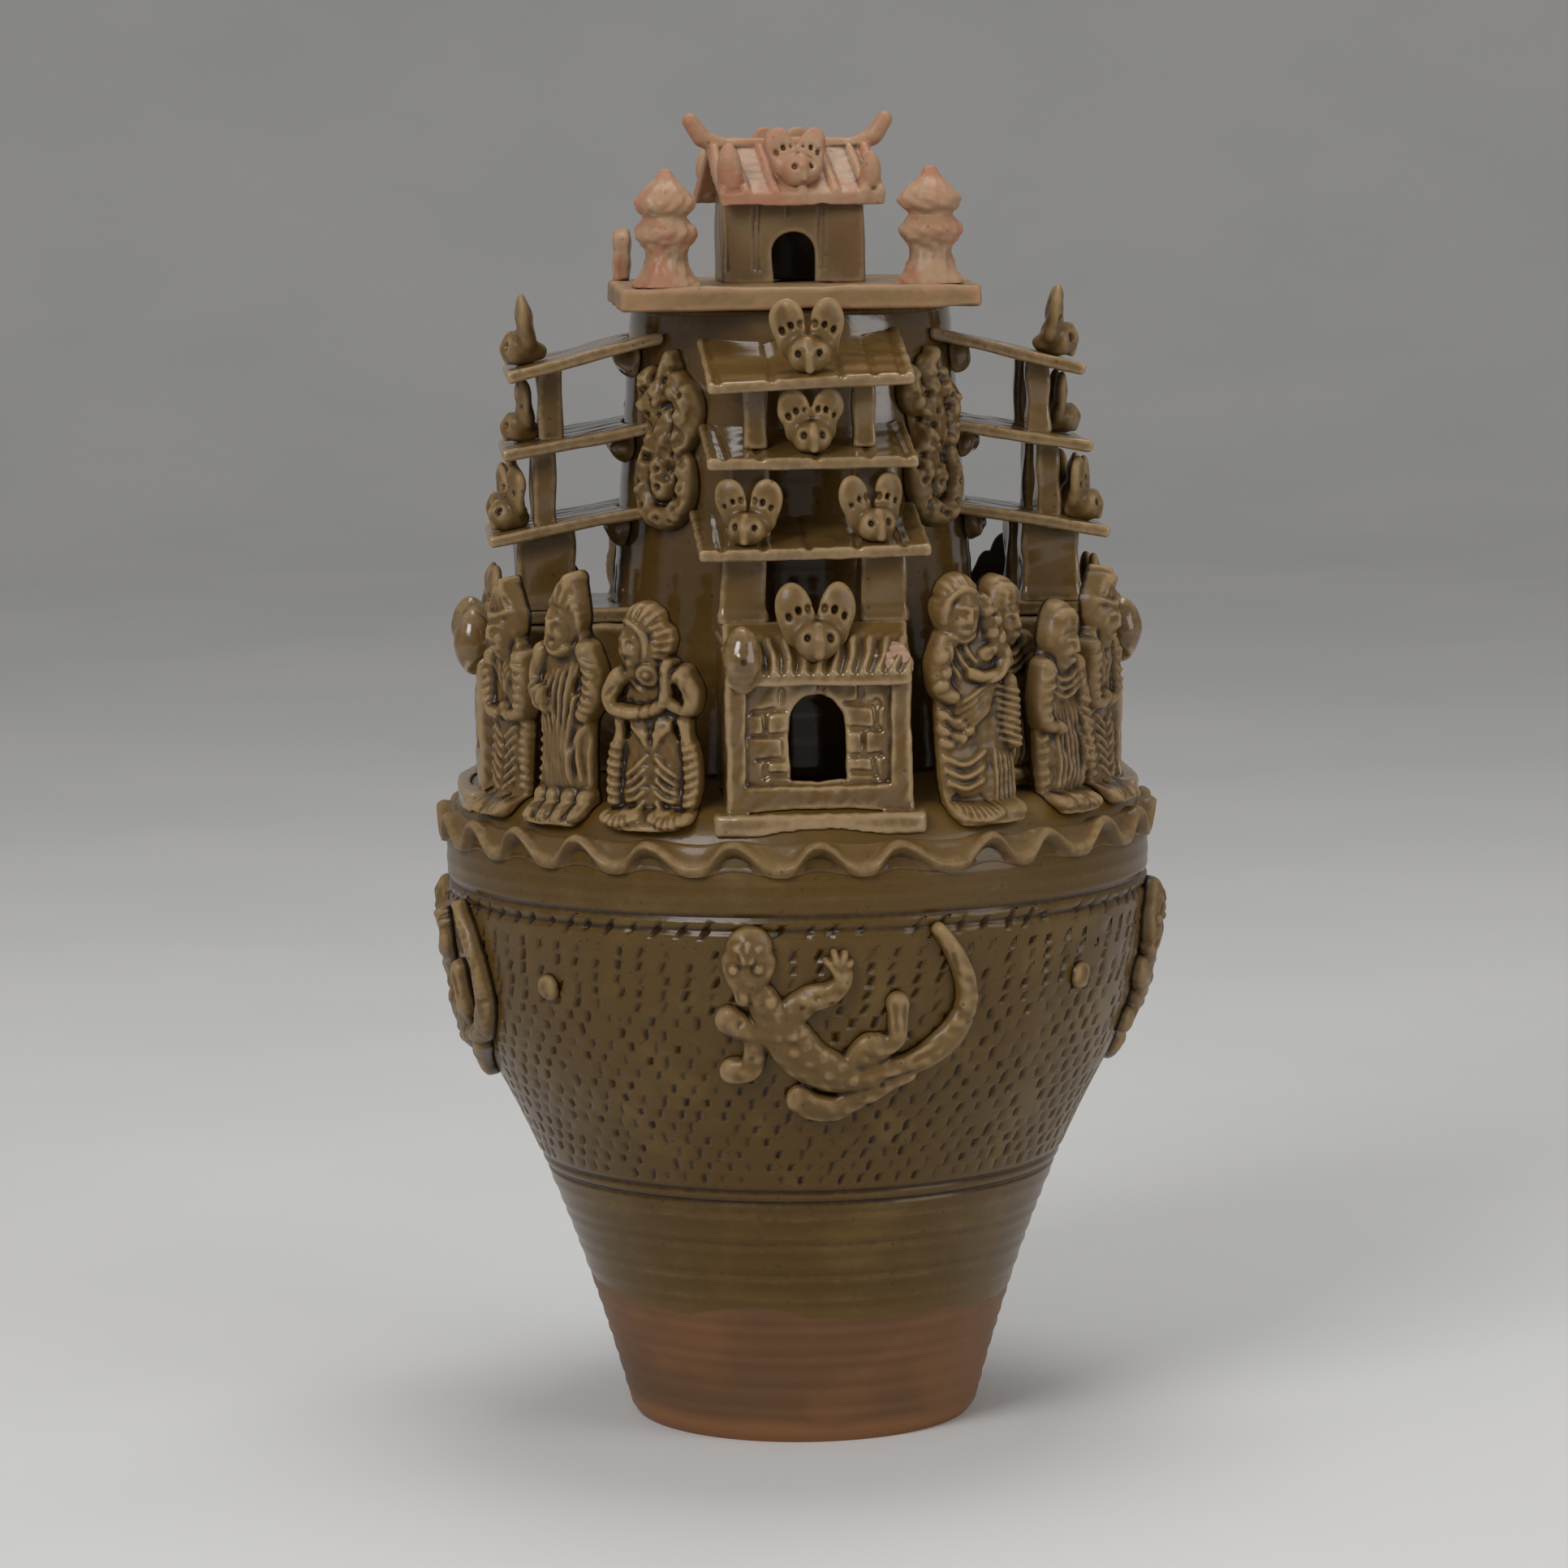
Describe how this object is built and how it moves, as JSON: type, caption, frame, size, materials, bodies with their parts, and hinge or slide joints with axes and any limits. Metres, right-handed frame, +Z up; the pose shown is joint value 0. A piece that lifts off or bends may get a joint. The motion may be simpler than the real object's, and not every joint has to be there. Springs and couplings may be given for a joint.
{
  "type": "funerary jar",
  "caption": "Stoneware funerary jar with a tall neck ringed by storeyed gate towers, moulded figures, birds and dragons, and a loose square lid carrying a small house.",
  "frame": {"origin": "centre of the flat foot's underside", "axes": "+Z up along the jar's axis, -Y out of the front gate, +X to the right of someone who looks at the front gate"},
  "size_m": [0.2164, 0.2164, 0.39],
  "materials": {
    "body_glaze": "olive brown ash glaze that stops above a bare red-brown foot",
    "neck_glaze": "glossy brown ash glaze",
    "tower_glaze": "glossy olive brown glaze, paler on the edges and dark where it pools",
    "relief_glaze": "thin khaki glaze over moulded relief, dark in the recesses",
    "lid_clay": "matt buff clay with a red-brown blush"
  },
  "bodies": {
    "jar": {"jar_body": "body_glaze", "neck_tube": "neck_glaze", "frill_band": "relief_glaze", "clay_buttons": "relief_glaze", "body_dragon_front": "relief_glaze", "body_dragon_right": "relief_glaze", "body_dragon_back": "relief_glaze", "body_dragon_left": "relief_glaze", "neck_dragon_front_right": "relief_glaze", "neck_dragon_back_right": "relief_glaze", "neck_dragon_back_left": "relief_glaze", "neck_dragon_front_left": "relief_glaze", "front_gate_walls": "tower_glaze", "front_gate_roof": "tower_glaze", "front_supports": "tower_glaze", "front_lower_eave": "tower_glaze", "front_middle_eave": "tower_glaze", "front_top_eave": "tower_glaze", "front_birds": "relief_glaze", "right_gate_walls": "tower_glaze", "right_gate_roof": "tower_glaze", "right_supports": "tower_glaze", "right_lower_eave": "tower_glaze", "right_middle_eave": "tower_glaze", "right_top_eave": "tower_glaze", "right_birds": "relief_glaze", "back_gate_walls": "tower_glaze", "back_gate_roof": "tower_glaze", "back_supports": "tower_glaze", "back_lower_eave": "tower_glaze", "back_middle_eave": "tower_glaze", "back_top_eave": "tower_glaze", "back_birds": "relief_glaze", "left_gate_walls": "tower_glaze", "left_gate_roof": "tower_glaze", "left_supports": "tower_glaze", "left_lower_eave": "tower_glaze", "left_middle_eave": "tower_glaze", "left_top_eave": "tower_glaze", "left_birds": "relief_glaze", "figure_01": "relief_glaze", "figure_02": "relief_glaze", "figure_03": "relief_glaze", "figure_04": "relief_glaze", "figure_05": "relief_glaze", "figure_06": "relief_glaze", "figure_07": "relief_glaze", "figure_08": "relief_glaze", "figure_09": "relief_glaze", "figure_10": "relief_glaze", "figure_11": "relief_glaze", "figure_12": "relief_glaze", "figure_13": "relief_glaze"},
    "lid": {"lid_slab": "lid_clay", "lid_flange": "lid_clay", "lid_house": "lid_clay", "lid_house_roof": "lid_clay", "lid_stupas": "lid_clay", "lid_tablets": "lid_clay", "lid_birds": "lid_clay"}
  },
  "joints": [
    {"name": "lid_lift", "type": "slide", "parent": "jar", "child": "lid", "axis": [0, 0, 1], "range_m": [0, 0.12]}
  ]
}
